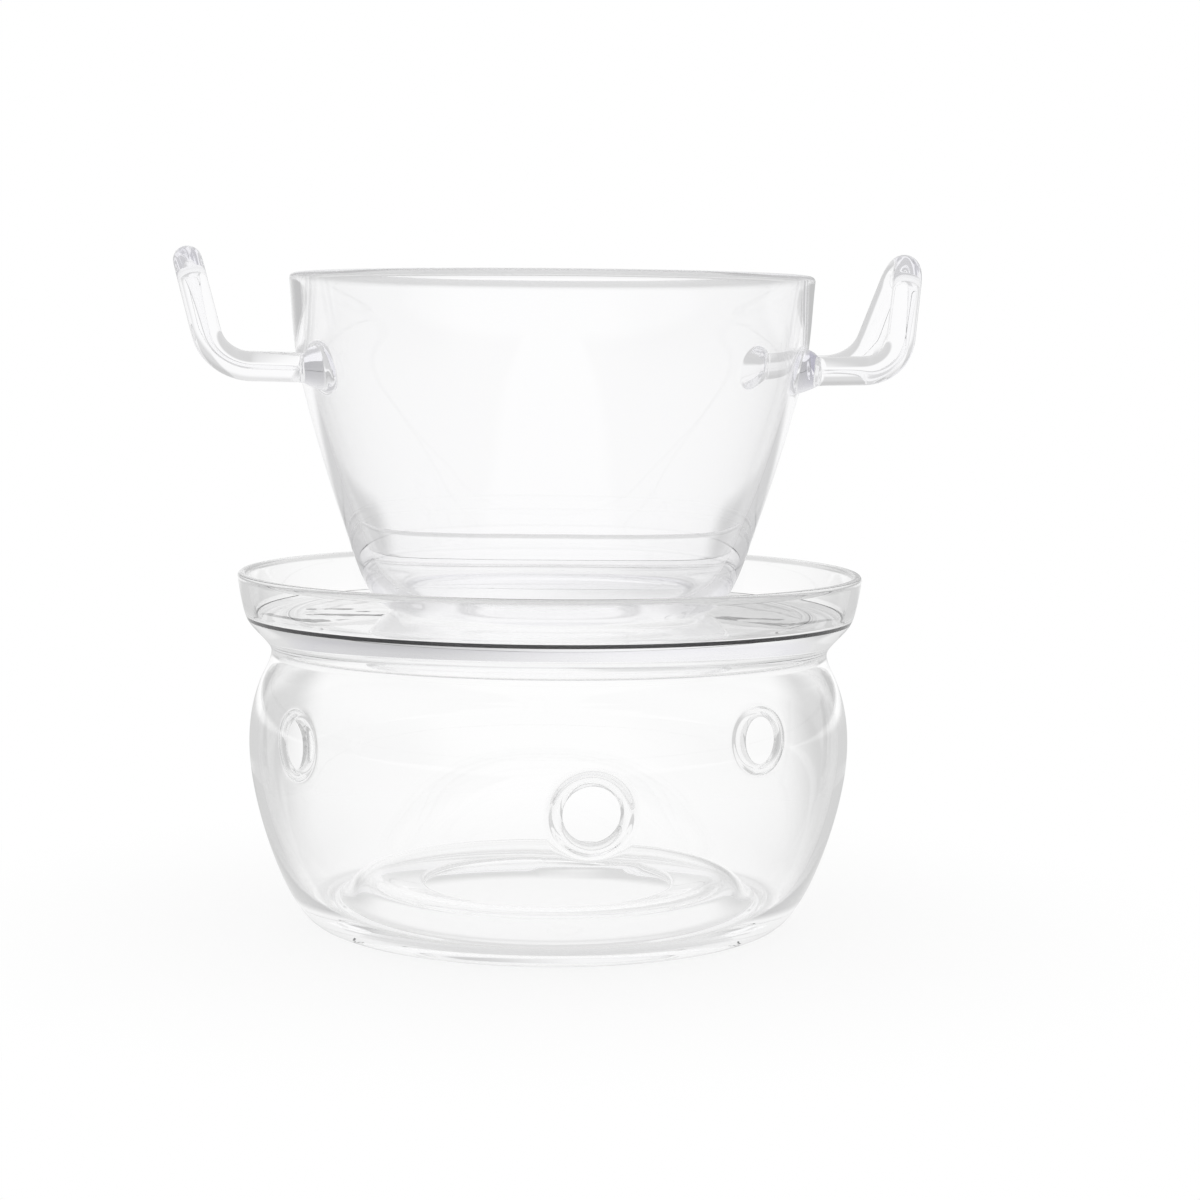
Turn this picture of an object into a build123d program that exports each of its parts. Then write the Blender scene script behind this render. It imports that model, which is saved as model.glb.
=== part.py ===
from build123d import *
import os
from math import cos, radians, sin, sqrt

os.makedirs("parts", exist_ok=True)

# Clear glass bowl on a bellied glass warmer. Sizes in mm. The origin is on the floor, on the axis
# of both vessels, with +Z up and +X through the right handle.

# Warmer body: the blown belly on its flat foot ring
belly_radius = 67.5
belly_height = 41.0
foot_radius = 50.5
foot_land = 2.6
neck_inset = 5.0
neck_rise = 20.3
warmer_wall = 2.0
warmer_heel_wall = 4.5
warmer_heel_power = 8

# Shelf: the flat disc that the bowl stands on, which closes the neck
shelf_rise = 8.7
shelf_thickness = 1.8
shelf_root_width = 1.7

# Collar: the upright rim that flares from the neck and stands round the shelf
fold_rise = 2.7
collar_flare = 7.55
collar_depth = 9.2
collar_wall = 2.0

# Base flange: the base turned back up inside, round a wide hole
flange_width = 22.7
flange_lip_height = 7.9
flange_crest_inset = 7.6
flange_crest_height = 10.0

# Vents: round air holes with a rolled lip
vent_names = ("front", "right", "left")
vent_drop = 6.2
vent_bore_radius = 6.1
vent_lip_radius = 8.5
vent_lip_length = 3.6
vent_lip_round = 1.0
vent_seat_round = 0.5

# Bowl: thin and tapering, with a slightly hollow underside
bowl_rim_radius = 58.55
bowl_height = 75.3
bowl_wall = 2.3
bowl_heel_wall = 3.8
bowl_heel_power = 4
bowl_foot_radius = 34.0
bowl_foot_land = 3.0
bowl_foot_hollow = 0.8
bowl_floor_thickness = 2.0
bowl_corner_width = 6.8
bowl_corner_height = 4.8
seat_gap = 0.2

# Handles: bent rods, each leg welded to the bowl by a flared bead
rod_diameter = 6.4
root_depth = 20.8
root_half_spread = 20.0
leg_length = 19.0
leg_rise = 0.4
elbow_draw = 3.0
elbow_bend_radius = 11.0
crown_rise = 30.1
crown_lean = 7.5
crown_bend_radius = 7.0
weld_length = 3.2
weld_radius = 4.6
weld_neck_margin = 0.1
weld_overrun = 4.0

# Outline points between two corners, as shares of the way across and of the way up
lower_belly_shares = [(0.20, 0.029), (0.39, 0.117), (0.67, 0.355), (0.905, 0.68)]
upper_belly_shares = [(0.18, 0.419), (0.62, 0.739)]
flare_shares = [(0.17, 0.150), (0.37, 0.248), (0.69, 0.415), (0.86, 0.640)]
flange_rise_shares = [(0.44, 0.58)]
flange_fall_shares = [(0.47, 0.33)]
bowl_heel_shares = [(0.53, 0.25)]
bowl_side_shares = [(0.10, 0.051), (0.254, 0.163), (0.417, 0.288), (0.628, 0.463), (0.806, 0.629), (0.924, 0.774)]
wall_step_shares = [step / 24 for step in range(25)]

# Directions that an outline leaves or reaches a corner in
outward = (1, 0)
inward = (-1, 0)
upward = (0, 1)
downward = (0, -1)
near_upward = (0.1, 1)
lip_way = (-1, -0.22)
weld_way = (1, -1)

vent_turn = 360 / len(vent_names)
rod_radius = rod_diameter / 2


# Points between two corners of an outline
def between(start, end, shares):
    across = end[0] - start[0]
    up = end[1] - start[1]
    return [(start[0] + across * share[0], start[1] + up * share[1]) for share in shares]


# A smooth curve through a row of points, with the ways in which it starts and ends
def smooth(points, start_way, end_way):
    return Spline(*points, tangents=[start_way, end_way], tangent_scalars=[1, 1])


# The point at one wall's thickness to the left of a curve, where left is inside on a way up
def beside(curve, share, wall):
    place = curve @ share
    way = curve % share
    return (place.X - way.Y * wall, place.Y + way.X * wall)


# The inner face of a wall, which follows its outer face at an even thickness
def inner_of(curve, wall):
    return Spline(*[beside(curve, share, wall) for share in wall_step_shares])


# The thickness of a wall that is thick at its heel and soon thins out on the way up
def thinning(share, heel, wall, power):
    return wall + (heel - wall) * (1 - share) ** power


# How far along a rising curve a height is reached
def share_at(curve, height):
    low = 0
    high = 1
    for halving in range(50):
        middle = (low + high) / 2
        if (curve @ middle).Y < height:
            low = middle
        else:
            high = middle
    return low


# Straight lines through a row of points
def lines(*points):
    return [Line(first, second) for first, second in zip(points, points[1:])]


# A solid of revolution about the upright axis, from an outline of radius and height
def turned(edges):
    return revolve(Plane.XZ * make_face(edges), axis=Axis.Z, revolution_arc=360)


# Corners of the warmer's outline
neck_radius = belly_radius - neck_inset
neck_height = belly_height + neck_rise
neck_bore = neck_radius - warmer_wall
fold_height = neck_height + fold_rise
shelf_height = neck_height + shelf_rise
collar_height = shelf_height + collar_depth
foot = (foot_radius, 0)
belly = (belly_radius, belly_height)
neck = (neck_radius, neck_height)
collar_rim = (neck_radius + collar_flare, collar_height - collar_wall / 2)
flange_root = foot_radius - foot_land
seam = (neck_bore + shelf_root_width, fold_height)

belly_points = [foot] + between(foot, belly, lower_belly_shares) + [belly]
belly_points += between(belly, neck, upper_belly_shares) + [neck]
belly_outside = smooth(belly_points, outward, upward)
flare_points = [neck] + between(neck, collar_rim, flare_shares) + [collar_rim]
flare_outside = smooth(flare_points, upward, near_upward)
fold_share = share_at(flare_outside, fold_height)
fold_edge = flare_outside @ fold_share
shelf_share = share_at(flare_outside, shelf_height)
shelf_edge = ((flare_outside @ shelf_share).X - collar_wall, shelf_height)


# The belly with its foot ring, open at the neck and at the base
def warmer_body():
    walls = [thinning(share, warmer_heel_wall, warmer_wall, warmer_heel_power) for share in wall_step_shares]
    belly_inside = Spline(*[beside(belly_outside, share, wall) for share, wall in zip(wall_step_shares, walls)])
    edges = lines((flange_root, 0), foot)
    edges += [belly_outside, flare_outside.trim(0, fold_share)]
    edges += lines((fold_edge.X, fold_edge.Y), (neck_bore, fold_height), belly_inside @ 1)
    edges += [belly_inside]
    edges += lines(belly_inside @ 0, (flange_root, warmer_heel_wall), (flange_root, 0))
    body = turned(edges)
    for index in range(len(vent_names)):
        body -= vent_place(index) * Cylinder(vent_lip_radius, vent_lip_length + belly_radius / 2)
    return body


# The flaring collar with its rounded rim
def warmer_collar():
    collar_outside = flare_outside.trim(fold_share, 1)
    wall_shares = [shelf_share + (1 - shelf_share) * share for share in wall_step_shares[4::4]]
    wall_points = [beside(flare_outside, share, collar_wall) for share in wall_shares]
    collar_inside = Spline(shelf_edge, *wall_points)
    rim_top = Vector(*collar_rim) + Vector(-collar_wall / 2, collar_wall / 2)
    edges = lines(shelf_edge, seam, (fold_edge.X, fold_edge.Y))
    edges += [collar_outside]
    edges += [ThreePointArc(collar_outside @ 1, (rim_top.X, rim_top.Y), collar_inside @ 1)]
    edges += [collar_inside]
    return turned(edges)


# The flat shelf, whose edge turns down beside the collar to stand on the neck
def warmer_shelf():
    underside = shelf_height - shelf_thickness
    turn = underside - fold_height
    edges = lines(shelf_edge, seam, (neck_bore, fold_height))
    edges += [RadiusArc((neck_bore, fold_height), (neck_bore - turn, underside), -turn)]
    edges += lines((neck_bore - turn, underside), (0, underside), (0, shelf_height), shelf_edge)
    return turned(edges)


# The base turned up inside the belly, with a rounded lip round the hole
def base_flange():
    root = (flange_root, warmer_heel_wall)
    crest = (flange_root - flange_crest_inset, flange_crest_height)
    lip = (foot_radius - flange_width + warmer_wall / 2, flange_lip_height)
    top_points = [root] + between(root, crest, flange_rise_shares) + [crest]
    top_points += between(crest, lip, flange_fall_shares) + [lip]
    topside = smooth(top_points, inward, lip_way)
    underside = inner_of(topside, warmer_wall)
    way = topside % 1
    middle = beside(topside, 1, warmer_wall / 2)
    tip = (middle[0] + way.X * warmer_wall / 2, middle[1] + way.Y * warmer_wall / 2)
    edges = [topside, ThreePointArc(topside @ 1, tip, underside @ 1), underside]
    edges += lines(underside @ 0, root)
    return turned(edges)


# Where a vent stands: its origin is on the middle of the wall, and its Z axis is square to the wall
def vent_place(index):
    share = share_at(belly_outside, belly_height - vent_drop)
    middle = beside(belly_outside, share, warmer_wall / 2)
    way = belly_outside % share
    turn = radians(vent_turn * index - 90)
    origin = (middle[0] * cos(turn), middle[0] * sin(turn), middle[1])
    outward = (way.Y * cos(turn), way.Y * sin(turn), -way.X)
    return Plane(origin=origin, z_dir=outward)


# The rolled lip of one vent
def vent_lip(index):
    ring = Cylinder(vent_lip_radius, vent_lip_length) - Cylinder(vent_bore_radius, vent_lip_length)
    circles = ring.edges().filter_by(GeomType.CIRCLE).sort_by(SortBy.RADIUS)
    bore_circles = circles[:2]
    ring = fillet(bore_circles, min(vent_lip_round, (vent_lip_radius - vent_bore_radius) / 2.2))
    circles = ring.edges().filter_by(GeomType.CIRCLE).sort_by(SortBy.RADIUS)
    ring = fillet(circles[-2:], min(vent_seat_round, (vent_lip_radius - vent_bore_radius) / 4))
    return vent_place(index) * ring


# Corners of the bowl's outline
bowl_base = shelf_height + seat_gap
bowl_foot = (bowl_foot_radius, bowl_base)
bowl_corner = (bowl_foot_radius + bowl_corner_width, bowl_base + bowl_corner_height)
bowl_rim = (bowl_rim_radius, shelf_height + bowl_height - bowl_wall / 2)
bowl_points = [bowl_foot] + between(bowl_foot, bowl_corner, bowl_heel_shares) + [bowl_corner]
bowl_points += between(bowl_corner, bowl_rim, bowl_side_shares) + [bowl_rim]
bowl_outside = smooth(bowl_points, outward, near_upward)


# The bowl with its rounded lip, its foot ring and the shallow hollow under it
def bowl_body():
    hollow = bowl_base + bowl_foot_hollow
    floor = hollow + bowl_floor_thickness
    ring_inside = bowl_foot_radius - bowl_foot_land
    corner_share = share_at(bowl_outside, bowl_corner[1])
    wall_points = []
    for step in wall_step_shares:
        share = corner_share + (1 - corner_share) * step
        wall = thinning(step, bowl_heel_wall, bowl_wall, bowl_heel_power)
        wall_points.append(beside(bowl_outside, share, wall))
    bowl_inside = smooth([(ring_inside, floor)] + wall_points, outward, near_upward)
    lip = Vector(*bowl_rim) + Vector(-bowl_wall / 2, bowl_wall / 2)
    edges = [bowl_outside, ThreePointArc(bowl_outside @ 1, (lip.X, lip.Y), bowl_inside @ 1), bowl_inside]
    edges += lines((ring_inside, floor), (0, floor), (0, hollow))
    edges += [smooth([(0, hollow), (ring_inside, bowl_base)], outward, outward)]
    edges += lines((ring_inside, bowl_base), bowl_foot)
    return turned(edges)


# The bowl as if it were solid, which shapes the welds to its wall
def bowl_block():
    top = bowl_outside @ 1
    return turned([bowl_outside] + lines((top.X, top.Y), (0, top.Y), (0, bowl_base), bowl_foot))


# The corners of a handle's centre line, from its front weld over the crown to its back weld
def handle_corners():
    root_height = shelf_height + bowl_height - root_depth
    wall = (bowl_outside @ share_at(bowl_outside, root_height)).X
    root_reach = sqrt(wall ** 2 - root_half_spread ** 2) + weld_length
    elbow_half_spread = root_half_spread - elbow_draw
    elbow_reach = root_reach + leg_length
    elbow_height = root_height + leg_rise
    front_root = Vector(root_reach, -root_half_spread, root_height)
    front_elbow = Vector(elbow_reach, -elbow_half_spread, elbow_height)
    crown = Vector(elbow_reach + crown_lean, 0, elbow_height + crown_rise)
    back_elbow = Vector(elbow_reach, elbow_half_spread, elbow_height)
    back_root = Vector(root_reach, root_half_spread, root_height)
    return [front_root, front_elbow, crown, back_elbow, back_root]


# One bent rod, on the right of the bowl
def handle_rod():
    corners = handle_corners()
    bends = [elbow_bend_radius, crown_bend_radius, elbow_bend_radius]
    path = FilletPolyline(*corners, radius=bends)
    section = Plane(origin=corners[0], z_dir=path % 0) * Circle(rod_radius)
    return sweep(section, path=path)


# The flared bead that joins one leg of the right handle to the wall
def weld_bead(root, elbow):
    neck_out = rod_radius + weld_neck_margin
    reach = weld_length + weld_overrun
    profile = [smooth([(neck_out, 0), (weld_radius, -weld_length)], downward, weld_way)]
    profile += lines((weld_radius, -weld_length), (weld_radius, -reach), (0, -reach), (0, 0), (neck_out, 0))
    bead = revolve(Plane.XZ * make_face(profile), axis=Axis.Z, revolution_arc=360)
    return Plane(origin=root, z_dir=elbow - root) * bead - bowl_block()


# The same piece on the other side of the bowl
def other_side(piece):
    return piece.rotate(Axis.Z, 180)


def all_pieces():
    corners = handle_corners()
    rod = handle_rod()
    front_bead = weld_bead(corners[0], corners[1])
    back_bead = weld_bead(corners[4], corners[3])
    pieces = {"warmer_body": warmer_body(), "warmer_collar": warmer_collar()}
    pieces["warmer_shelf"] = warmer_shelf()
    pieces["base_flange"] = base_flange()
    for index, name in enumerate(vent_names):
        pieces[name + "_vent_lip"] = vent_lip(index)
    pieces["bowl_body"] = bowl_body()
    pieces["right_handle_rod"] = rod
    pieces["left_handle_rod"] = other_side(rod)
    pieces["right_front_weld"] = front_bead
    pieces["right_back_weld"] = back_bead
    pieces["left_back_weld"] = other_side(front_bead)
    pieces["left_front_weld"] = other_side(back_bead)
    return pieces


for node, piece in all_pieces().items():
    export_step(piece, "parts/" + node + ".step")
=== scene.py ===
import math

import bmesh
import bpy
import numpy as np
from mathutils import Matrix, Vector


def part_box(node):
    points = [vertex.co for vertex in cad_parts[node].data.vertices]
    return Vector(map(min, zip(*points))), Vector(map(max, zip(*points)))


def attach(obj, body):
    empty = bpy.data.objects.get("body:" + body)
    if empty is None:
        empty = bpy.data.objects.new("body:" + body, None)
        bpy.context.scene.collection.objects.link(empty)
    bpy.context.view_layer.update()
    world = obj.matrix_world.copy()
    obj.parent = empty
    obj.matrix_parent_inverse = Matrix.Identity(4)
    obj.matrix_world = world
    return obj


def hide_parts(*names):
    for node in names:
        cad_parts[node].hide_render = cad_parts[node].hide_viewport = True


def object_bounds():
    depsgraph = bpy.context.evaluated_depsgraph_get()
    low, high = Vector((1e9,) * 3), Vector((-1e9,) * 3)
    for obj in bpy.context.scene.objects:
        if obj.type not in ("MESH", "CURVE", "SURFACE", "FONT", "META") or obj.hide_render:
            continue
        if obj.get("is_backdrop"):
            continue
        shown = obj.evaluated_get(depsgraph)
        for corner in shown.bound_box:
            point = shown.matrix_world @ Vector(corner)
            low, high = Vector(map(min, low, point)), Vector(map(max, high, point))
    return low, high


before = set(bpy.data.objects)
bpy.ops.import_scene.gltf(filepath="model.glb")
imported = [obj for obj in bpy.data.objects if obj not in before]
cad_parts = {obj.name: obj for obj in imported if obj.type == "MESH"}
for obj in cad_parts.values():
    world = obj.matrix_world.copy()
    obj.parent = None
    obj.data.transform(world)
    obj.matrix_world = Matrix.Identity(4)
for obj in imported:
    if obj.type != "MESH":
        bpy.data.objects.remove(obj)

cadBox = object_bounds()
mm = 0.001
turns = 240  # columns of mesh round each vessel, so that every vent falls on a column
print("frame loaded,", len(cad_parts), "nodes")


# Colour and node helpers
def linear(hexColour):
    channels = [int(hexColour[i:i + 2], 16) / 255 for i in (1, 3, 5)]
    return [c / 12.92 if c <= 0.04045 else ((c + 0.055) / 1.055) ** 2.4 for c in channels] + [1.0]


def addNode(tree, kind, settings=None, links=None):
    node = tree.nodes.new(kind)
    for name, value in (settings or {}).items():
        if isinstance(name, int) or name in node.inputs:
            node.inputs[name].default_value = value
        else:
            setattr(node, name, value)
    for name, source in (links or {}).items():
        tree.links.new(source, node.inputs[name])
    return node


# Works out a shade in steps. A step is its name, its operation and its values, where a word stands for
# an earlier result, and RISE goes softly from one level to another between two values.
def addSteps(tree, results, steps):
    for name, operation, *values in steps:
        values = [results[value] if isinstance(value, str) else value for value in values]
        if operation == "RISE":
            value, low, high, start, end = values
            node = addNode(tree, "ShaderNodeMapRange",
                           {"interpolation_type": "SMOOTHSTEP", "From Min": low, "From Max": high,
                            "To Min": start, "To Max": end}, {"Value": value})
        else:
            fixed = {i: value for i, value in enumerate(values) if isinstance(value, (int, float))}
            linked = {i: value for i, value in enumerate(values) if i not in fixed}
            node = addNode(tree, "ShaderNodeMath", {"operation": operation, **fixed}, linked)
        results[name] = node.outputs[0]
    return results


def emptyTree(owner):
    owner.use_nodes = True
    owner.node_tree.nodes.clear()
    return owner.node_tree


# The place of one side of a CAD node's box, in mm
def size(node, corner, axis):
    return getattr(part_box(node)[corner], axis) / mm


# Outline helpers, in mm, with points as (radius, height)
def between(start, end, shares):
    start, end = np.array(start, float), np.array(end, float)
    return [tuple(start + (end - start) * np.array(share)) for share in shares]


# A smooth curve through points that starts and ends in given ways, sampled finely
def smooth(points, startWay, endWay, step=0.05):
    knots = np.array(points, float)
    spans = np.linalg.norm(np.diff(knots, axis=0), axis=1)
    count = len(knots)
    sums = np.zeros((count, count))
    right = np.zeros((count, 2))
    sums[0, 0] = sums[-1, -1] = 1
    right[0] = np.array(startWay, float) / np.linalg.norm(startWay)
    right[-1] = np.array(endWay, float) / np.linalg.norm(endWay)
    for i in range(1, count - 1):
        before, after = spans[i - 1], spans[i]
        sums[i, i - 1:i + 2] = 1 / before, 2 / before + 2 / after, 1 / after
        right[i] = 3 * ((knots[i] - knots[i - 1]) / before ** 2 + (knots[i + 1] - knots[i]) / after ** 2)
    ways = np.linalg.solve(sums, right)
    curve = []
    for i, span in enumerate(spans):
        for t in np.arange(0, 1, min(0.5, step / span)):
            curve.append((2 * t ** 3 - 3 * t ** 2 + 1) * knots[i] + (t ** 3 - 2 * t ** 2 + t) * span * ways[i]
                         + (3 * t ** 2 - 2 * t ** 3) * knots[i + 1] + (t ** 3 - t ** 2) * span * ways[i + 1])
    curve.append(knots[-1])
    return np.array(curve)


# A finely sampled curve read by its length, with the way across it that points out of the glass
class Curve:
    def __init__(self, points):
        self.points = np.array(points, float)
        steps = np.linalg.norm(np.diff(self.points, axis=0), axis=1)
        self.lengths = np.concatenate([[0], np.cumsum(steps)])
        self.length = self.lengths[-1]
        ways = np.gradient(self.points, self.lengths, axis=0)
        self.ways = ways / np.linalg.norm(ways, axis=1)[:, None]

    def at(self, length, out=0.0):
        place = [np.interp(length, self.lengths, self.points[:, i]) for i in (0, 1)]
        way = [np.interp(length, self.lengths, self.ways[:, i]) for i in (0, 1)]
        size = math.hypot(*way)
        return place[0] + way[1] / size * out, place[1] - way[0] / size * out

    def lengthAt(self, height):
        return float(np.interp(height, self.points[:, 1], self.lengths))


def arc(centre, radius, startAngle, endAngle, steps):
    angles = np.radians(np.linspace(startAngle, endAngle, steps + 1))
    return [(centre[0] + radius * math.cos(a), centre[1] + radius * math.sin(a)) for a in angles]


# The rows that cross a curve, evenly spaced and with one row exactly at the given length. A row that
# falls close to an end moves on to it.
def rowsThrough(curve, middle, spacing):
    close = spacing * 0.3
    below = int(middle / spacing)
    above = int((curve.length - middle) / spacing)
    rows = [middle + spacing * i for i in range(-below, above + 1)]
    if rows[0] > close:
        rows.insert(0, 0.0)
    else:
        rows[0] = 0.0
    if curve.length - rows[-1] > close:
        rows.append(curve.length)
    else:
        rows[-1] = curve.length
    return rows


def onWheel(radius, height, column):
    angle = 2 * math.pi * column / turns
    return (radius * math.cos(angle) * mm, radius * math.sin(angle) * mm, height * mm)


# Spins a closed outline into rings of vertices, and leaves out the cells in skipped blocks. The
# rows that take painted shade and the second material's rows are marked.
def lathe(bm, outline, blocks, shadedRows, secondRows=()):
    rimShadeLayer = bm.verts.layers.float.new("paintedRimShade")
    rings = []
    for radius, height in outline:
        if radius < 1e-6:
            rings.append([bm.verts.new((0, 0, height * mm))])
        else:
            rings.append([bm.verts.new(onWheel(radius, height, i)) for i in range(turns)])
    # painted shade: the listed rows are greyed in the glass's colour
    for row in shadedRows:
        for vertex in rings[row]:
            vertex[rimShadeLayer] = 1.0
    skipped = set()
    for rowStart, rowEnd, columnStart, columnEnd in blocks:
        for row in range(rowStart, rowEnd):
            for column in range(columnStart, columnEnd):
                skipped.add((row, column % turns))
    for row in range(len(rings)):
        lower, upper = rings[row], rings[(row + 1) % len(rings)]
        if len(lower) == 1 and len(upper) == 1:
            continue
        for i in range(turns):
            j = (i + 1) % turns
            if (row, i) in skipped:
                continue
            if len(lower) == 1:
                face = bm.faces.new((lower[0], upper[j], upper[i]))
            elif len(upper) == 1:
                face = bm.faces.new((lower[i], lower[j], upper[0]))
            else:
                face = bm.faces.new((lower[i], lower[j], upper[j], upper[i]))
            face.material_index = int(row in secondRows)
    return rings


# The vertices round the edge of a block of skipped cells, with their rows and columns
def blockEdge(rings, block):
    rowStart, rowEnd, columnStart, columnEnd = block
    cells = [(rowStart, c) for c in range(columnStart, columnEnd)]
    cells += [(r, columnEnd) for r in range(rowStart, rowEnd)]
    cells += [(rowEnd, c) for c in range(columnEnd, columnStart, -1)]
    cells += [(r, columnStart) for r in range(rowEnd, rowStart, -1)]
    return [(rings[r][c % turns], r, c) for r, c in cells]


# Joins two rows of vertices, each closed on itself, with one face per step
def bridge(bm, first, second):
    count = len(first)
    for i in range(count):
        j = (i + 1) % count
        bm.faces.new((first[i], first[j], second[j], second[i]))


# Evenly spread angles for a row of vertices that starts anywhere, by the one nearest angle zero
def evenAngles(angles):
    count = len(angles)
    nearest = min(range(count), key=lambda i: abs(angles[i]))
    rising = 1 if (angles[(nearest + 1) % count] - angles[nearest]) % (2 * math.pi) < math.pi else -1
    return [rising * (i - nearest) * 2 * math.pi / count for i in range(count)]


def newPiece(name, bm, materials, body, nodes):
    bmesh.ops.delete(bm, geom=[v for v in bm.verts if not v.link_faces], context="VERTS")
    bmesh.ops.recalc_face_normals(bm, faces=bm.faces)
    mesh = bpy.data.meshes.new(name)
    bm.to_mesh(mesh)
    bm.free()
    mesh.shade_smooth()
    piece = bpy.data.objects.new(name, mesh)
    bpy.context.scene.collection.objects.link(piece)
    for material in materials:
        mesh.materials.append(material)
    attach(piece, body)
    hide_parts(*nodes)
    print(name, len(mesh.vertices), "vertices")
    return piece


# Borosilicate glass, blown and fire polished. It bends light by 1.473, has no haze, and takes a
# faint lavender grey only where it is seen edge on, through centimetres of glass.
glassLook = {
    "ior": 1.473, "tint": "#E8E7F0", "rippleMm": 16.0, "rippleDepthMm": 0.02,
    # the first value on the next line is the grey of the painted shade on rims and lips
    "rimShadeGrey": 0.72, "mostMirrored": 3.5, "mostPassed": 11.5,
    "warmerDensity": 1.2, "bowlDensity": 14.0,
}


def borosilicateGlass(name, density):
    look = glassLook
    material = bpy.data.materials.new(name)
    tree = emptyTree(material)
    coordinates = addNode(tree, "ShaderNodeTexCoord")
    # the slow waves that blowing leaves in the wall
    waves = addNode(tree, "ShaderNodeTexNoise", {"Scale": 1 / (look["rippleMm"] * mm), "Detail": 1.0},
                    {"Vector": coordinates.outputs["Object"]})
    ripple = addNode(tree, "ShaderNodeBump", {"Strength": 1.0, "Distance": look["rippleDepthMm"] * mm},
                     {"Height": waves.outputs["Fac"]})
    # painted shade: rims and vent lips are greyed in the glass's colour, for the thin dark lines that bent
    # light draws there
    rimShadeMark = addNode(tree, "ShaderNodeAttribute", {"attribute_name": "paintedRimShade"})
    surface = addNode(tree, "ShaderNodeMapRange", {"To Min": 1.0, "To Max": look["rimShadeGrey"]},
                      {"Value": rimShadeMark.outputs["Fac"]})
    glass = addNode(tree, "ShaderNodeBsdfPrincipled",
                    {"Roughness": 0.0, "IOR": look["ior"], "Transmission Weight": 1.0},
                    {"Base Color": surface.outputs[0], "Normal": ripple.outputs["Normal"]})
    depth = addNode(tree, "ShaderNodeVolumeAbsorption", {"Color": linear(look["tint"]), "Density": density})
    # light that runs on inside the glass for longer than it can be followed is let straight out
    rays = addNode(tree, "ShaderNodeLightPath")
    results = {"mirrors": rays.outputs["Glossy Depth"], "passes": rays.outputs["Ray Depth"]}
    addSteps(tree, results, [
        ("mirrored", "GREATER_THAN", "mirrors", look["mostMirrored"]),
        ("passed", "GREATER_THAN", "passes", look["mostPassed"]),
        ("lost", "MAXIMUM", "mirrored", "passed"),
    ])
    letOut = addNode(tree, "ShaderNodeBsdfTransparent")
    mixed = addNode(tree, "ShaderNodeMixShader", None,
                    {0: results["lost"], 1: glass.outputs[0], 2: letOut.outputs[0]})
    addNode(tree, "ShaderNodeOutputMaterial", None,
            {"Surface": mixed.outputs[0], "Volume": depth.outputs[0]})
    return material


# Painted shadow: a dark, nearly opaque sheet on the seam where the shelf is fused into the collar, for the
# one thin dark line that bent light draws there
paintedSeamShadowLook = {"colour": "#3A3A3D", "roughness": 0.5, "cover": 0.9}
paintedSeamShadow = bpy.data.materials.new("paintedSeamShadow")
seamShadowTree = emptyTree(paintedSeamShadow)
seamShade = addNode(seamShadowTree, "ShaderNodeBsdfPrincipled",
                    {"Base Color": linear(paintedSeamShadowLook["colour"]), "Roughness": paintedSeamShadowLook["roughness"],
                     "Alpha": paintedSeamShadowLook["cover"]})
addNode(seamShadowTree, "ShaderNodeOutputMaterial", None, {"Surface": seamShade.outputs[0]})

# Clear blown wall of the warmer, only just grey where it is seen edge on
warmerGlass = borosilicateGlass("borosilicateWarmer", glassLook["warmerDensity"])
# The bowl's wall and its solid rods, whose thick crowns look lavender grey
bowlGlass = borosilicateGlass("borosilicateBowl", glassLook["bowlDensity"])
print("materials made")

# Warmer: blown belly, flared collar, flat shelf, base turned up inside and three rolled vents, in mm
warmer = {
    "wall": 2.0, "heelWall": 4.5, "heelPower": 8,
    "footRadius": 50.5, "footLand": 2.6, "footTurn": 0.5, "footRow": 0.8, "footGap": 1.4,
    "bellyRadius": size("warmer_body", 1, "x"), "bellyHeight": 41.0,
    "neckRadius": 62.5, "neckHeight": 61.3,
    "rimRadius": size("warmer_collar", 1, "x"), "rimHeight": size("warmer_collar", 1, "z"),
    "shelfHeight": size("warmer_shelf", 1, "z"), "shelfThickness": 1.8,
    "seamWidth": 0.5, "seamDepth": 0.8, "seamInset": 0.1, "seamBevel": 0.1, "neckFillet": 4.2,
    "shelfRows": (1.4, 2.4, 5, 10, 19, 33, 49), "underShelfRows": (40, 25, 12, 5, 1.5, 0.4),
    "crestRadius": 40.3, "crestHeight": size("base_flange", 1, "z") - 0.1,
    "holeRadius": 27.8, "lipHeight": 7.9, "lipWay": (-1, -0.22), "rimWay": (0.1, 1),
    "lowerBellyShares": [(0.20, 0.029), (0.39, 0.117), (0.67, 0.355), (0.905, 0.68)],
    "upperBellyShares": [(0.18, 0.419), (0.62, 0.739)],
    "flareShares": [(0.17, 0.150), (0.37, 0.248), (0.69, 0.415), (0.86, 0.640)],
    "flangeRiseShares": [(0.44, 0.58)], "flangeFallShares": [(0.47, 0.33)],
}
# Vents: the wall swells softly to a rolled lip round each hole
vent = {
    "height": 34.8, "columns": (180, 20, 100), "block": 7,
    "boreRadius": 6.1, "lipRadius": 7.4, "lipHalf": 1.8, "footRadius": 9.6, "shoulder": 1.2, "swell": 0.25,
    # the first and third values on the next line are how strongly the bore's edge and the lip take painted
    # shade
    "boreShade": 1.0, "boreLine": 0.3, "lipShade": 0.1, "fanShares": (0.2, 0.4, 0.6, 0.8),
}


def pairs(start, end, key, shape):
    return between(start, end, shape[key])


# The thickness of a wall that is thick at its heel and soon thins out on the way up
def thinning(share, shape):
    return shape["wall"] + (shape["heelWall"] - shape["wall"]) * (1 - share) ** shape["heelPower"]


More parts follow.
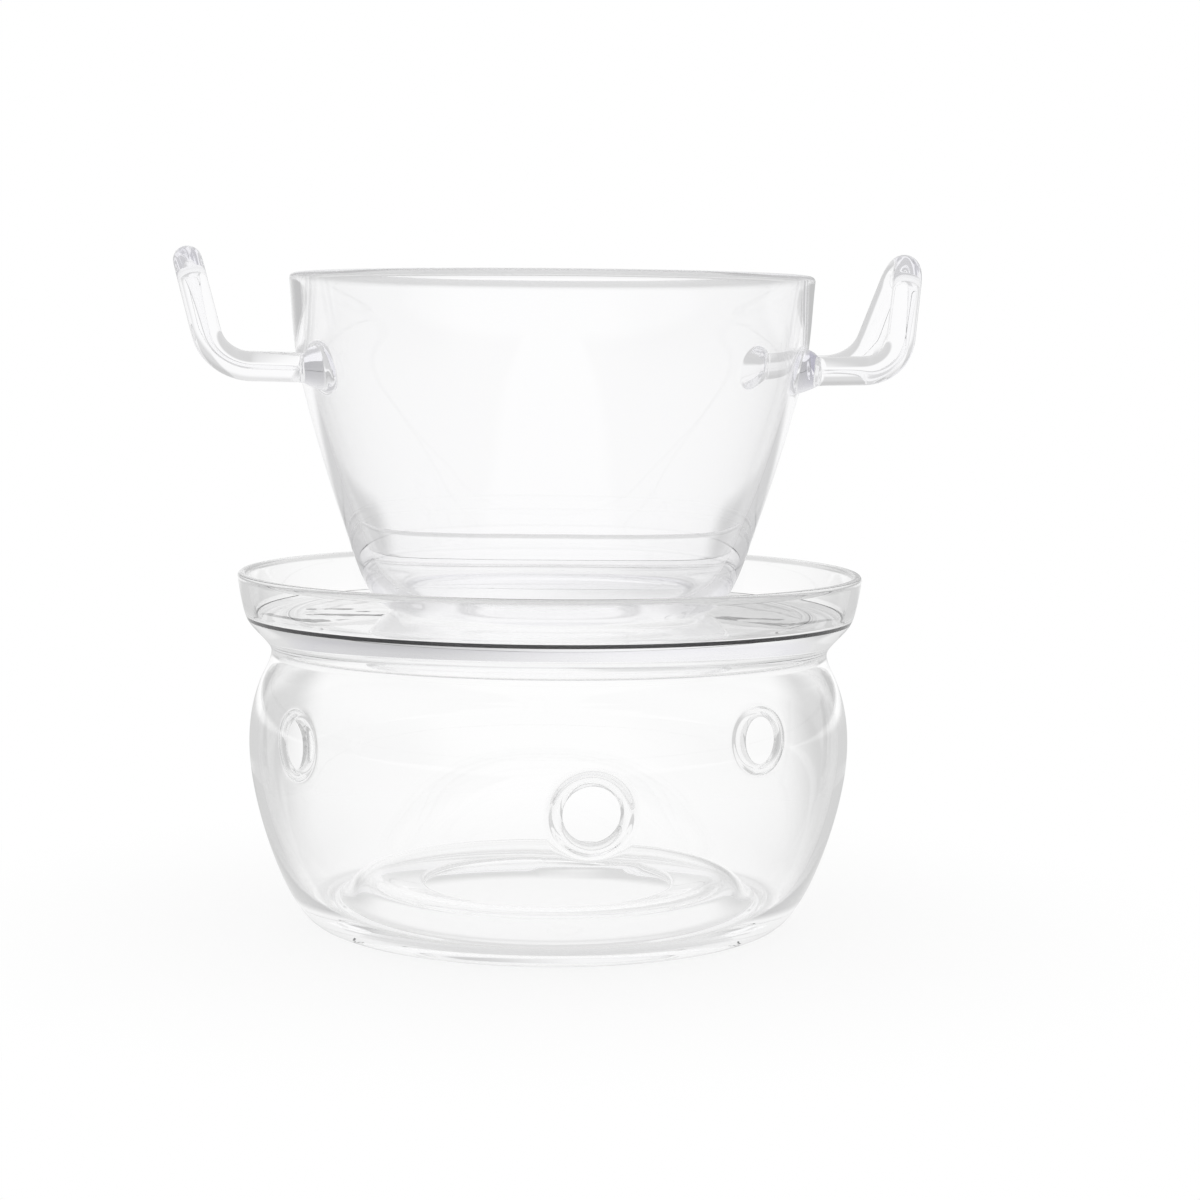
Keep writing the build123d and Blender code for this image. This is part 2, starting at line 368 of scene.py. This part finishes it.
def makeWarmer():
    w = warmer
    foot, belly = (w["footRadius"], 0), (w["bellyRadius"], w["bellyHeight"])
    neck = (w["neckRadius"], w["neckHeight"])
    half = w["wall"] / 2
    rim = (w["rimRadius"], w["rimHeight"] - half)
    points = [foot] + pairs(foot, belly, "lowerBellyShares", w) + [belly]
    points += pairs(belly, neck, "upperBellyShares", w) + [neck]
    outside = Curve(smooth(points, (1, 0), (0, 1)))
    flare = Curve(smooth([neck] + pairs(neck, rim, "flareShares", w) + [rim], (0, 1), w["rimWay"]))
    spacing = 2 * math.pi * w["bellyRadius"] / turns
    ventLength = outside.lengthAt(vent["height"])
    rows = rowsThrough(outside, ventLength, spacing)
    outline = [outside.at(s) for s in rows]
    ventRow = min(range(len(rows)), key=lambda i: abs(rows[i] - ventLength))
    flareRows = np.linspace(0, flare.length, 26)[1:]
    outline += [flare.at(s) for s in flareRows[:-1]]
    # the rim's rows take painted shade
    rimRows = range(len(outline), len(outline) + 13)
    outline += arc((w["rimRadius"] - half, rim[1]), half, 0, 180, 12)
    # down the collar's inner face, round the bottom of the narrow seam and up on to the shelf
    shelf, seamRadius = w["shelfHeight"], w["seamWidth"] / 2
    seamBottom = shelf - w["seamDepth"] + seamRadius
    top = flare.lengthAt(shelf)
    inner = [flare.at(s, -w["wall"]) for s in np.linspace(flare.length, top, 16)[1:]]
    corner = inner[-1][0] - w["seamInset"]
    outline += inner
    seamStart = len(outline)
    outline += [(corner, shelf)]
    outline += arc((corner - seamRadius, seamBottom), seamRadius, 0, -180, 8)
    bevel = w["seamBevel"]
    outline += [(corner - w["seamWidth"], shelf - bevel), (corner - w["seamWidth"] - bevel, shelf)]
    # the seam's faces take the painted seam shadow, a dark sheet where bent light draws a thin dark line
    seamShadowRows = range(seamStart, len(outline) - 1)
    # across the shelf and back under it
    under = shelf - w["shelfThickness"]
    neckBore = w["neckRadius"] - w["wall"]
    turn = w["neckFillet"]
    outline += [(corner - step, shelf) for step in w["shelfRows"]]
    outline += [(0, shelf), (0, under)]
    outline += [(neckBore - turn - step, under) for step in w["underShelfRows"]]
    outline += arc((neckBore - turn, under - turn), turn, 90, 0, 10)
    outline += [(neckBore, z) for z in np.linspace(under - turn, w["neckHeight"], 5)[1:-1]]
    innerStart = len(outline)
    outline += [outside.at(s, -thinning(s / outside.length, w)) for s in reversed(rows)]
    innerVentRow = innerStart + len(rows) - 1 - ventRow
    # the base turned up inside, round its rounded lip and back under
    rootRadius = w["footRadius"] - w["footLand"]
    root, crest = (rootRadius, w["heelWall"]), (w["crestRadius"], w["crestHeight"])
    lip = (w["holeRadius"] + half, w["lipHeight"])
    points = [root] + pairs(root, crest, "flangeRiseShares", w) + [crest]
    points += pairs(crest, lip, "flangeFallShares", w) + [lip]
    flange = Curve(smooth(points, (-1, 0), w["lipWay"]))
    flangeRows = np.linspace(0, flange.length, 30)
    outline += [flange.at(s) for s in flangeRows]
    way = flange.ways[-1]
    middle = flange.at(flange.length, -half)
    slope = math.degrees(math.atan2(way[1], way[0]))
    around = arc(middle, half, slope - 90, slope + 90, 12)
    if math.dist(around[0], outline[-1]) > math.dist(around[-1], outline[-1]):
        around.reverse()
    outline += around[1:-1]
    turn = w["footTurn"]
    under = [flange.at(s, -w["wall"]) for s in reversed(flangeRows)]
    step = w["heelWall"] - w["wall"]
    outline += [p for p in under if p[0] < rootRadius - w["footGap"] * turn]
    outline += arc((rootRadius - turn, step - turn), turn, 90, 0, 6)
    outline += arc((rootRadius + turn, turn), turn, 180, 270, 6)
    outline += [(w["footRadius"] - w["footRow"], 0)]

    bm = bmesh.new()
    reach = vent["block"]
    blocks = []
    for column in vent["columns"]:
        blocks.append((ventRow - reach, ventRow + reach, column - reach, column + reach))
        blocks.append((innerVentRow - reach, innerVentRow + reach, column - reach, column + reach))
    rings = lathe(bm, outline, blocks, rimRows, seamShadowRows)
    rimShadeLayer = bm.verts.layers.float["paintedRimShade"]
    middleRadius = outside.at(ventLength)[0]

    # a point by its place on the wall round the vent, and its distance from the wall's middle
    def onWall(column, across, up, out):
        radius, height = outside.at(ventLength + up, out - half)
        return onWheel(radius, height, column + across / middleRadius / (2 * math.pi) * turns)

    for number, column in enumerate(vent["columns"]):
        outerEdge = blockEdge(rings, blocks[2 * number])
        innerEdge = blockEdge(rings, blocks[2 * number + 1])
        step = 2 * math.pi / turns * middleRadius
        places = [((c - column) * step, rows[r] - ventLength) for v, r, c in outerEdge]
        angles = evenAngles([math.atan2(up, across) for across, up in places])
        partner = {(c, rows[len(rows) - 1 - (r - innerStart)]): v for v, r, c in innerEdge}
        last = [partner[(c, rows[r])] for v, r, c in outerEdge]

        def ring(radius, out, share):
            made = []
            for (across, up), angle in zip(places, angles):
                u = across + (radius * math.cos(angle) - across) * share
                v = up + (radius * math.sin(angle) - up) * share
                made.append(bm.verts.new(onWall(column, u, v, out)))
                if share == 1:
                    # painted shade: full on the bore's edge, faint on the rest of the lip
                    nearBore = radius < vent["boreRadius"] + vent["boreLine"]
                    made[-1][rimShadeLayer] = vent["boreShade" if nearBore else "lipShade"]
            return made

        # the lip's section, from the wall's outer face over the roll to the middle of the bore
        shoulder = (vent["lipRadius"] + vent["shoulder"], half + vent["swell"])
        section = [(vent["footRadius"], half), shoulder, (vent["lipRadius"], vent["lipHalf"]),
                   (vent["boreRadius"], 0)]
        lipCurve = Curve(smooth(section, (-1, 0), (0, -1)))
        lipPoints = [lipCurve.at(s) for s in np.linspace(0, lipCurve.length, 15)]
        chain = [(vent["footRadius"], half, share) for share in vent["fanShares"]]
        chain += [(radius, out, 1.0) for radius, out in lipPoints]
        chain += [(radius, -out, 1.0) for radius, out in reversed(lipPoints[:-1])]
        chain += [(vent["footRadius"], -half, share) for share in reversed(vent["fanShares"])]
        previous = [v for v, r, c in outerEdge]
        for link in chain:
            current = ring(*link)
            bridge(bm, previous, current)
            previous = current
        bridge(bm, previous, last)
    return newPiece("warmer_glass", bm, [warmerGlass, paintedSeamShadow], "warmer",
                    ["warmer_body", "warmer_collar", "warmer_shelf", "base_flange",
                     "front_vent_lip", "left_vent_lip", "right_vent_lip"])


makeWarmer()

# Bowl: thin tapering wall, low foot ring and two bent-rod handles welded to the wall, in mm
bowl = {
    "wall": 2.3, "heelWall": 3.8, "heelPower": 4,
    "rimRadius": size("bowl_body", 1, "x"), "rimHeight": size("bowl_body", 1, "z"),
    "baseHeight": size("bowl_body", 0, "z"),
    "footRadius": 34.0, "footLand": 3.0, "hollow": 0.8, "floor": 2.0,
    "floorRows": (1.5, 5, 11, 20), "landRows": (1.0, 2.0),
    "cornerRadius": 40.8, "cornerHeight": 4.8, "rimWay": (0.1, 1),
    "heelShares": [(0.53, 0.25)],
    "sideShares": [(0.10, 0.051), (0.254, 0.163), (0.417, 0.288), (0.628, 0.463), (0.806, 0.629),
                   (0.924, 0.774)],
}
handle = {
    "rodRadius": 3.2, "rootHeight": 124.5, "rootSpread": 20.0,
    "legLength": 19.0, "elbowSpread": 17.0, "elbowRise": 0.4, "elbowBend": 11.0, "elbowRings": 17,
    "crownLean": 7.5, "crownRise": 30.1, "crownBend": 7.0, "crownRings": 11, "longestRing": 1.2,
    "weldRadius": 4.7, "weldLength": 3.2, "weldSpread": 0.9, "block": 5, "fanShares": (0.25, 0.5, 0.75, 1.0),
    # how far the bead stands past its radius, how far it is off the wall, and how flat its ring lies
    "bead": [(0.55, 0.06, 0.0), (0.25, 0.25, 0.0), (0.0, 0.65, 0.04), (-0.2, 1.1, 0.12), (-0.55, 1.7, 0.3),
             (-0.95, 2.3, 0.55), (-1.25, 2.8, 0.8)],
    "deepest": -14.0, "nearest": 4.0, "halvings": 40, "crownBeyond": 70.0, "weldGap": 0.02,
}


# The centre line of one leg from its weld to the middle of the crown: straight runs and round bends
def legLine(rootReach):
    h = handle
    root = np.array([rootReach, h["rootSpread"], h["rootHeight"]])
    elbow = np.array([rootReach + h["legLength"], h["elbowSpread"], h["rootHeight"] + h["elbowRise"]])
    crown = np.array([elbow[0] + h["crownLean"], 0, elbow[2] + h["crownRise"]])
    mirrored = elbow * np.array([1, -1, 1])
    line = [root]
    for before, corner, after, bend in ((root, elbow, crown, h["elbowBend"]),
                                        (elbow, crown, mirrored, h["crownBend"])):
        intoWay = (corner - before) / np.linalg.norm(corner - before)
        outWay = (after - corner) / np.linalg.norm(after - corner)
        turn = math.acos(np.clip(intoWay @ outWay, -1, 1))
        cut = bend * math.tan(turn / 2)
        start = corner - intoWay * cut
        side = outWay - intoWay * (intoWay @ outWay)
        side /= np.linalg.norm(side)
        centre = start + side * bend
        whole = bend == h["elbowBend"]
        for angle in np.linspace(0, turn if whole else turn / 2, h["elbowRings" if whole else "crownRings"]):
            line.append(centre - side * bend * math.cos(angle) + intoWay * bend * math.sin(angle))
    return line


# Fills a line of points so that no step is longer than the given length
def refined(line, longest):
    filled = [line[0]]
    for start, end in zip(line, line[1:]):
        count = max(1, math.ceil(np.linalg.norm(end - start) / longest))
        filled += [start + (end - start) * i / count for i in range(1, count + 1)]
    return filled


def makeBowl():
    b, h = bowl, handle
    base = b["baseHeight"]
    half = b["wall"] / 2
    foot = (b["footRadius"], base)
    corner = (b["cornerRadius"], base + b["cornerHeight"])
    rim = (b["rimRadius"], b["rimHeight"] - half)
    points = [foot] + pairs(foot, corner, "heelShares", b) + [corner]
    points += pairs(corner, rim, "sideShares", b) + [rim]
    outside = Curve(smooth(points, (1, 0), b["rimWay"]))
    rootLength = outside.lengthAt(h["rootHeight"])
    wallRadius = outside.at(rootLength)[0]
    spacing = 2 * math.pi * wallRadius / turns
    rows = rowsThrough(outside, rootLength, spacing)
    rootRow = min(range(len(rows)), key=lambda i: abs(rows[i] - rootLength))
    outline = [outside.at(s) for s in rows]
    # the rim's rows take painted shade
    rimRows = range(len(outline) - 1, len(outline) + 14)
    outline += arc((b["rimRadius"] - half, rim[1]), half, 0, 180, 14)[1:]
    hollow = base + b["hollow"]
    floor = hollow + b["floor"]
    ringInside = b["footRadius"] - b["footLand"]
    cornerLength = outside.lengthAt(corner[1])
    innerPoints = []
    for share in np.linspace(0, 1, 25):
        place = cornerLength + (outside.length - cornerLength) * share
        innerPoints.append(outside.at(place, -thinning(share, b)))
    inside = Curve(smooth([(ringInside, floor)] + innerPoints, (1, 0), b["rimWay"]))
    outline += [inside.at(s) for s in np.linspace(inside.length, 0, 64)[1:]]
    outline += [(ringInside - step, floor) for step in b["floorRows"]]
    outline += [(0, floor), (0, hollow)]
    under = Curve(smooth([(0, hollow), (ringInside, base)], (1, 0), (1, 0)))
    outline += [under.at(s) for s in np.linspace(0, under.length, 14)[1:]]
    outline += [(ringInside + step, base) for step in b["landRows"]]

    bm = bmesh.new()
    reach = h["block"]
    rootAngle = math.asin(h["rootSpread"] / wallRadius)
    rootColumn = round(rootAngle / (2 * math.pi) * turns)
    legs = [(1, 1, rootColumn), (1, -1, turns - rootColumn),
            (-1, 1, turns // 2 - rootColumn), (-1, -1, turns // 2 + rootColumn)]
    blocks = [(rootRow - reach, rootRow + reach, column - reach, column + reach) for x, y, column in legs]
    rings = lathe(bm, outline, blocks, rimRows)

    rootReach = math.sqrt(wallRadius ** 2 - h["rootSpread"] ** 2) + h["weldLength"]
    line = refined(legLine(rootReach), h["longestRing"])
    legWay = (line[1] - line[0]) / np.linalg.norm(line[1] - line[0])
    flat = np.cross([0, 0, 1], legWay)
    flat /= np.linalg.norm(flat)
    upright = np.cross(legWay, flat)

    # how far along the leg's axis, from its root, the wall lies at a place across the leg
    def wallDepth(across, up):
        start = line[0] + flat * across + upright * up
        low, high = h["deepest"], h["nearest"]
        for halving in range(h["halvings"]):
            depth = (low + high) / 2
            place = start + legWay * depth
            radius = outside.at(outside.lengthAt(place[2]))[0]
            if math.hypot(place[0], place[1]) < radius:
                low = depth
            else:
                high = depth
        return low

    for mirrorX, mirrorY, column in legs:
        edge = blockEdge(rings, blocks[legs.index((mirrorX, mirrorY, column))])
        places = []
        for v, r, c in edge:
            local = np.array([v.co.x * mirrorX, v.co.y * mirrorY, v.co.z]) / mm - line[0]
            places.append((local @ flat, local @ upright))
        angles = evenAngles([math.atan2(up, across) for across, up in places])

        def place(point):
            return bm.verts.new((point[0] * mirrorX * mm, point[1] * mirrorY * mm, point[2] * mm))

        def ring(radius, share, lift, settle):
            made = []
            for (across, up), angle in zip(places, angles):
                u = across + (radius * math.cos(angle) - across) * share
                v = up + (radius * math.sin(angle) - up) * share
                depth = (wallDepth(u, v) + lift) * (1 - settle)
                made.append(place(line[0] + flat * u + upright * v + legWay * depth))
            return made

        previous = [v for v, r, c in edge]
        footRadius = h["weldRadius"] + h["weldSpread"]
        chain = [(footRadius, share, 0, 0) for share in h["fanShares"]]
        chain += [(h["weldRadius"] + grow, 1.0, lift, settle) for grow, lift, settle in h["bead"]]
        for link in chain:
            current = ring(*link)
            bridge(bm, previous, current)
            previous = current
        # the rod itself, its rings carried along the line without twist
        across, up = flat.copy(), upright.copy()
        for i, point in enumerate(line):
            before, after = line[max(i - 1, 0)], line[min(i + 1, len(line) - 1)]
            way = (after - before) / np.linalg.norm(after - before)
            if i == len(line) - 1:
                way = np.array([0, -1.0, 0])
            across = across - way * (across @ way)
            across /= np.linalg.norm(across)
            up = np.cross(way, across)
            current = []
            for angle in angles:
                offset = (across * math.cos(angle) + up * math.sin(angle)) * h["rodRadius"]
                current.append(place(point + offset))
            bridge(bm, previous, current)
            previous = current
    # the two legs of each handle meet in one ring at the middle of its crown
    close, far = h["weldGap"] * mm / 2, h["crownBeyond"] * mm
    crowns = [v for v in bm.verts if abs(v.co.y) < close and abs(v.co.x) > far]
    bmesh.ops.remove_doubles(bm, verts=crowns, dist=h["weldGap"] * mm)
    return newPiece("bowl_glass", bm, [bowlGlass], "bowl",
                    ["bowl_body", "left_handle_rod", "right_handle_rod", "left_front_weld", "left_back_weld",
                     "right_front_weld", "right_back_weld"])


makeBowl()

# Floor: a wide matt white sheet. Seen by the camera or through glass it is plain white, and it
# still takes the object's soft shadow near its foot. Distances are in metres.
floorLook = {
    "colour": "#F4F4F4", "halfWidth": 4.0, "drop": 0.0001, "turn": -7.8,
    "whiteFrom": 0.05, "whiteTo": 0.16, "shadow": 0.10,
    "footShade": 0.24, "footFrom": 0.038, "footFull": 0.046, "footFade": 0.052, "footTo": 0.060,
    "cardShade": 0.33, "cardStart": 0.055, "cardFull": 0.085,
    "cardSlope": 0.11, "cardLength": 0.5, "cardEnd": 0.8,
}


def makeFloor():
    look = floorLook
    material = bpy.data.materials.new("paintedSweep")
    tree = emptyTree(material)
    matt = addNode(tree, "ShaderNodeBsdfDiffuse", {"Color": linear(look["colour"])})
    rays = addNode(tree, "ShaderNodeLightPath")
    coordinates = addNode(tree, "ShaderNodeTexCoord")
    place = addNode(tree, "ShaderNodeSeparateXYZ", None, {0: coordinates.outputs["Object"]})
    away = addNode(tree, "ShaderNodeVectorMath", {"operation": "LENGTH"}, {0: coordinates.outputs["Object"]})
    results = {"x": place.outputs["X"], "y": place.outputs["Y"], "away": away.outputs["Value"],
               "camera": rays.outputs["Is Camera Ray"], "passed": rays.outputs["Is Transmission Ray"],
               "mirrored": rays.outputs["Is Glossy Ray"]}
    addSteps(tree, results, [
        ("seen", "MAXIMUM", "camera", "passed"),
        ("seen", "MAXIMUM", "seen", "mirrored"),
        ("fade", "RISE", "away", look["whiteFrom"], look["whiteTo"], 1 - look["shadow"], 1.0),
        ("share", "MULTIPLY", "seen", "fade"),
        # painted shadow: glass shows the ring of sheet under the foot darker, the foot's shadow painted into
        # the sheet's light
        ("footIn", "RISE", "away", look["footFrom"], look["footFull"], 0.0, look["footShade"]),
        ("footOut", "RISE", "away", look["footFade"], look["footTo"], 1.0, 0.0),
        ("foot", "MULTIPLY", "footIn", "footOut"),
        # and a grey card lying on each side of the object
        ("aside", "ABSOLUTE", "x"),
        ("along", "ABSOLUTE", "y"),
        ("outward", "MULTIPLY_ADD", "along", -look["cardSlope"], "aside"),
        ("cardIn", "RISE", "outward", look["cardStart"], look["cardFull"], 0.0, look["cardShade"]),
        ("cardOut", "RISE", "along", look["cardLength"], look["cardEnd"], 1.0, 0.0),
        ("card", "MULTIPLY", "cardIn", "cardOut"),
        ("level", "SUBTRACT", 1.0, "foot"),
        ("level", "SUBTRACT", "level", "card"),
        ("level", "MAXIMUM", "level", "camera"),
    ])
    white = addNode(tree, "ShaderNodeEmission", {"Color": (1, 1, 1, 1)}, {"Strength": results["level"]})
    mixed = addNode(tree, "ShaderNodeMixShader", None,
                    {0: results["share"], 1: matt.outputs[0], 2: white.outputs[0]})
    addNode(tree, "ShaderNodeOutputMaterial", None, {"Surface": mixed.outputs[0]})
    bm = bmesh.new()
    bmesh.ops.create_grid(bm, x_segments=1, y_segments=1, size=look["halfWidth"])
    mesh = bpy.data.meshes.new("floor")
    bm.to_mesh(mesh)
    bm.free()
    mesh.materials.append(material)
    floor = bpy.data.objects.new("floor", mesh)
    floor.location.z = -look["drop"]
    floor.rotation_euler.z = math.radians(look["turn"])
    bpy.context.scene.collection.objects.link(floor)
    floor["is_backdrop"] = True


makeFloor()
print("floor made")

# World: a white tent. It is white round the horizon, where the glass is seen through, soft grey in
# broad panels, dimmer above them and white again overhead, which draws the edges of the glass.
tent = {
    "panels": 8.0, "panelDark": -0.15, "panelLight": 0.35, "panelGrey": 0.72, "panelFrom": 9, "panelTo": 18,
    "dim": 0.2, "dimFrom": 22, "dimTo": 40, "topFrom": 60, "topTo": 72, "seamFrom": 5.80, "seamTo": 6.00,
    "roomLevel": 0.95, "cardLevel": 0.55, "cardFrom": 4, "cardIn": 15, "cardOut": 120, "cardTo": 150,
    "cardLow": 0, "cardHigh": 38,
    "ceilingLevel": 0.9, "ceilingFrom": 24, "ceilingIn": 34, "ceilingOut": 42, "ceilingTo": 56,
}


def makeTent():
    world = bpy.data.worlds.new("tent")
    bpy.context.scene.world = world
    tree = emptyTree(world)
    rays = addNode(tree, "ShaderNodeLightPath")
    coordinates = addNode(tree, "ShaderNodeTexCoord")
    way = addNode(tree, "ShaderNodeSeparateXYZ", None, {0: coordinates.outputs["Generated"]})
    around = {key: math.radians(degrees) for key, degrees in tent.items()}
    high = {key: math.sin(radians) for key, radians in around.items()}
    results = {"x": way.outputs["X"], "y": way.outputs["Y"], "z": way.outputs["Z"],
               "mirrors": rays.outputs["Glossy Depth"]}
    addSteps(tree, results, [
        # what is seen through the glass: panels of soft grey over a white horizon, dimmer higher up
        ("azimuth", "ARCTAN2", "x", "y"),
        ("light", "MULTIPLY", "azimuth", tent["panels"]),
        ("light", "COSINE", "light"),
        ("light", "RISE", "light", tent["panelDark"], tent["panelLight"], 0.0, 1.0),
        ("horizon", "RISE", "z", high["panelFrom"], high["panelTo"], 1.0, 0.0),
        ("light", "MAXIMUM", "light", "horizon"),
        ("light", "MULTIPLY_ADD", "light", 1 - tent["panelGrey"], tent["panelGrey"]),
        ("dim", "RISE", "z", high["dimFrom"], high["dimTo"], 1.0, 1 - tent["dim"]),
        ("light", "MULTIPLY", "light", "dim"),
        ("top", "RISE", "z", high["topFrom"], high["topTo"], 0.0, 1.0),
        ("light", "MAXIMUM", "light", "top"),
        # what the glass mirrors: a bright room with a dark card on each side and a dimmer ceiling
        ("aside", "ABSOLUTE", "azimuth"),
        ("cardIn", "RISE", "aside", around["cardFrom"], around["cardIn"], 0.0, 1.0),
        ("cardOut", "RISE", "aside", around["cardOut"], around["cardTo"], 1.0, 0.0),
        ("card", "MULTIPLY", "cardIn", "cardOut"),
        ("cardTop", "RISE", "z", high["cardLow"], high["cardHigh"], 1.0, 0.0),
        ("card", "MULTIPLY", "card", "cardTop"),
        ("room", "MULTIPLY_ADD", "card", tent["cardLevel"] - tent["roomLevel"], tent["roomLevel"]),
        ("ceilingIn", "RISE", "z", high["ceilingFrom"], high["ceilingIn"], 0.0, 1.0),
        ("ceilingOut", "RISE", "z", high["ceilingOut"], high["ceilingTo"], 0.0, 1.0),
        ("ceiling", "SUBTRACT", "ceilingIn", "ceilingOut"),
        ("lower", "SUBTRACT", tent["ceilingLevel"], "room"),
        ("room", "MULTIPLY_ADD", "ceiling", "lower", "room"),
        # light that glass mirrored at least once comes from the room, and the rest from the tent
        ("mirrored", "GREATER_THAN", "mirrors", 0.5),
        ("change", "SUBTRACT", "room", "light"),
        ("light", "MULTIPLY_ADD", "mirrored", "change", "light"),
        # the tent's seam, a thin black line that the bowl's curve draws again
        ("overSeam", "GREATER_THAN", "z", high["seamFrom"]),
        ("underSeam", "LESS_THAN", "z", high["seamTo"]),
        ("seam", "MULTIPLY", "overSeam", "underSeam"),
        ("plain", "SUBTRACT", 1.0, "seam"),
        ("light", "MULTIPLY", "light", "plain"),
    ])
    shade = addNode(tree, "ShaderNodeBackground", {"Strength": 1.0}, {"Color": results["light"]})
    white = addNode(tree, "ShaderNodeBackground", {"Color": (1, 1, 1, 1), "Strength": 1.0})
    mixed = addNode(tree, "ShaderNodeMixShader", None,
                    {0: rays.outputs["Is Camera Ray"], 1: shade.outputs[0], 2: white.outputs[0]})
    addNode(tree, "ShaderNodeOutputWorld", None, {"Surface": mixed.outputs[0]})


makeTent()
print("world made")

# Camera: a long lens 600 mm away, a little lower than the bowl's rim and turned 7.8 degrees off the front
camera = {
    "distance": 600.0, "height": 130.0, "turn": -7.8, "pitch": 0.0975, "roll": 0.0085,
    "focalPixels": 2667.0, "centreX": 549.45, "centreY": 605.0, "photoPixels": 1200.0,
}


def makeCamera():
    c = camera
    lens = bpy.data.cameras.new("camera")
    lens.sensor_fit = "HORIZONTAL"
    lens.lens = c["focalPixels"] / c["photoPixels"] * lens.sensor_width
    middle = c["photoPixels"] / 2
    lens.shift_x = (middle - c["centreX"]) / c["photoPixels"]
    lens.shift_y = (c["centreY"] - middle) / c["photoPixels"]
    lens.clip_start = 0.01
    eye = bpy.data.objects.new("camera", lens)
    bpy.context.scene.collection.objects.link(eye)
    around = Matrix.Rotation(math.radians(c["turn"]), 4, "Z")
    place = Matrix.Translation((0, -c["distance"] * mm, c["height"] * mm))
    tilt = Matrix.Rotation(math.pi / 2 - c["pitch"], 4, "X") @ Matrix.Rotation(c["roll"], 4, "Z")
    eye.matrix_world = around @ place @ tilt
    bpy.context.scene.camera = eye


makeCamera()
bpy.context.scene.view_settings.view_transform = "Standard"
print("camera made")

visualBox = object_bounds()
boxes = {"cad": cadBox, "visual": visualBox}
{name: [list(corner) for corner in box] for name, box in boxes.items()}
